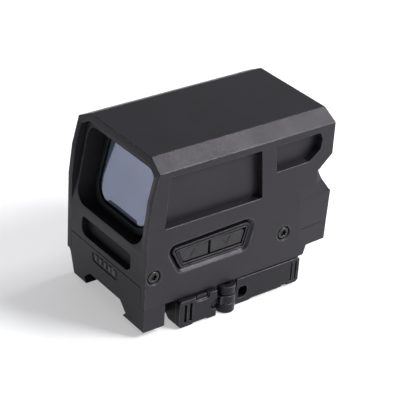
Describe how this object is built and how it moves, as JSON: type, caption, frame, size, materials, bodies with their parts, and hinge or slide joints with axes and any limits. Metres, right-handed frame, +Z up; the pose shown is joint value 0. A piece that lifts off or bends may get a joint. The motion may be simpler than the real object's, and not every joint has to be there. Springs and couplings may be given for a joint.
{
  "type": "enclosed red dot finder",
  "caption": "Enclosed red dot sight with a hooded lens window, side keypad, battery drawer and a lever clamp for an accessory rail.",
  "frame": {"origin": "middle of the rail seat, the roof of the rail channel", "axes": "+Y forward along the optical axis, +Z up, -X towards the side with the keys and the lever"},
  "size_m": [0.0421, 0.0646, 0.0533],
  "materials": {
    "anodised_aluminium": "matte black anodised, fine bead blast",
    "anodised_clamp": "black anodised, slightly glossier",
    "coated_glass": "lavender-blue reflective coating",
    "clear_glass": "clear with a faint coating",
    "black_rubber": "matte moulded rubber",
    "key_rubber": "matte silicone key",
    "board_laminate": "green solder mask",
    "plated_steel": "nickel plated",
    "black_plastic": "black moulded plastic",
    "red_diode": "clear red epoxy",
    "dark_steel": "oil-blackened steel, bright at the edges"
  },
  "bodies": {
    "root": {"housing": "anodised_aluminium", "mount_base": "anodised_aluminium", "front_lens_frame": "anodised_clamp", "rear_window_frame": "anodised_clamp", "keypad_frame": "anodised_clamp", "front_lens": "coated_glass", "rear_window": "clear_glass", "front_lens_seal": "black_rubber", "rear_window_seal": "black_rubber", "keypad_membrane": "black_rubber", "circuit_board": "board_laminate", "switch_board": "board_laminate", "dome_switch_up": "plated_steel", "dome_switch_down": "plated_steel", "battery_contact": "plated_steel", "side_screw_left_front": "dark_steel", "side_screw_left_rear": "dark_steel", "side_screw_right_front": "dark_steel", "side_screw_right_rear": "dark_steel", "cross_bolt": "dark_steel", "adjust_nut": "dark_steel", "guide_pin_front": "dark_steel", "guide_pin_rear": "dark_steel"},
    "clamp": {"clamp_bar": "anodised_clamp", "lever_pin": "dark_steel"},
    "lever": {"clamp_lever": "anodised_clamp"},
    "lock": {"lock_tab": "anodised_clamp"},
    "key_up": {"button_up": "key_rubber"},
    "key_down": {"button_down": "key_rubber"},
    "drawer": {"battery_tray": "anodised_clamp", "battery": "plated_steel", "tray_seal": "black_rubber"},
    "drawer_screw": {"tray_screw": "dark_steel"},
    "windage": {"windage_adjuster": "dark_steel"},
    "elevation": {"elevation_adjuster": "dark_steel"},
    "carriage": {"windage_carriage": "black_plastic"},
    "emitter": {"emitter_block": "black_plastic", "led_emitter": "red_diode"}
  },
  "joints": [
    {"name": "lever_hinge", "type": "hinge", "parent": "clamp", "child": "lever", "pos_m": [-0.0193, 0.0068, -0.00135], "axis": [0, 0, 1], "range_deg": [0, 100]},
    {"name": "clamp_slide", "type": "slide", "parent": "root", "child": "clamp", "axis": [-1, 0, 0], "range_m": [0, 0.00109]},
    {"name": "lock_tab_slide", "type": "slide", "parent": "lever", "child": "lock", "axis": [1, 0, 0], "range_m": [0, 0.0005], "stiffness_N_per_m": 300, "springref_m": -0.0002},
    {"name": "key_up_slide", "type": "slide", "parent": "root", "child": "key_up", "axis": [1, 0, 0], "range_m": [0, 0.0006], "stiffness_N_per_m": 300, "springref_m": -0.0002},
    {"name": "key_down_slide", "type": "slide", "parent": "root", "child": "key_down", "axis": [1, 0, 0], "range_m": [0, 0.0006], "stiffness_N_per_m": 300, "springref_m": -0.0002},
    {"name": "drawer_slide", "type": "slide", "parent": "root", "child": "drawer", "axis": [1, 0, 0], "range_m": [0, 0.0245]},
    {"name": "drawer_screw_turn", "type": "hinge", "parent": "drawer", "child": "drawer_screw", "pos_m": [0.0194, 0.0192, 0.0142], "axis": [1, 0, 0], "range_deg": [0, 720]},
    {"name": "windage_turn", "type": "hinge", "parent": "root", "child": "windage", "pos_m": [0.019, -0.0205, 0.0164], "axis": [1, 0, 0], "range_deg": [-720, 720]},
    {"name": "elevation_turn", "type": "hinge", "parent": "root", "child": "elevation", "pos_m": [0, -0.0282, 0.0164], "axis": [0, -1, 0], "range_deg": [-720, 720]},
    {"name": "carriage_slide", "type": "slide", "parent": "root", "child": "carriage", "axis": [1, 0, 0], "range_m": [-0.0007, 0.0007]},
    {"name": "emitter_lift", "type": "slide", "parent": "carriage", "child": "emitter", "axis": [0, 0, 1], "range_m": [-0.0007, 0.0007]}
  ],
  "couplings": [
    {"joint": "lever_hinge", "follows": "clamp_slide", "rad_per_m": 1600},
    {"joint": "windage_turn", "follows": "carriage_slide", "rad_per_m": 17950},
    {"joint": "elevation_turn", "follows": "emitter_lift", "rad_per_m": 17950}
  ]
}
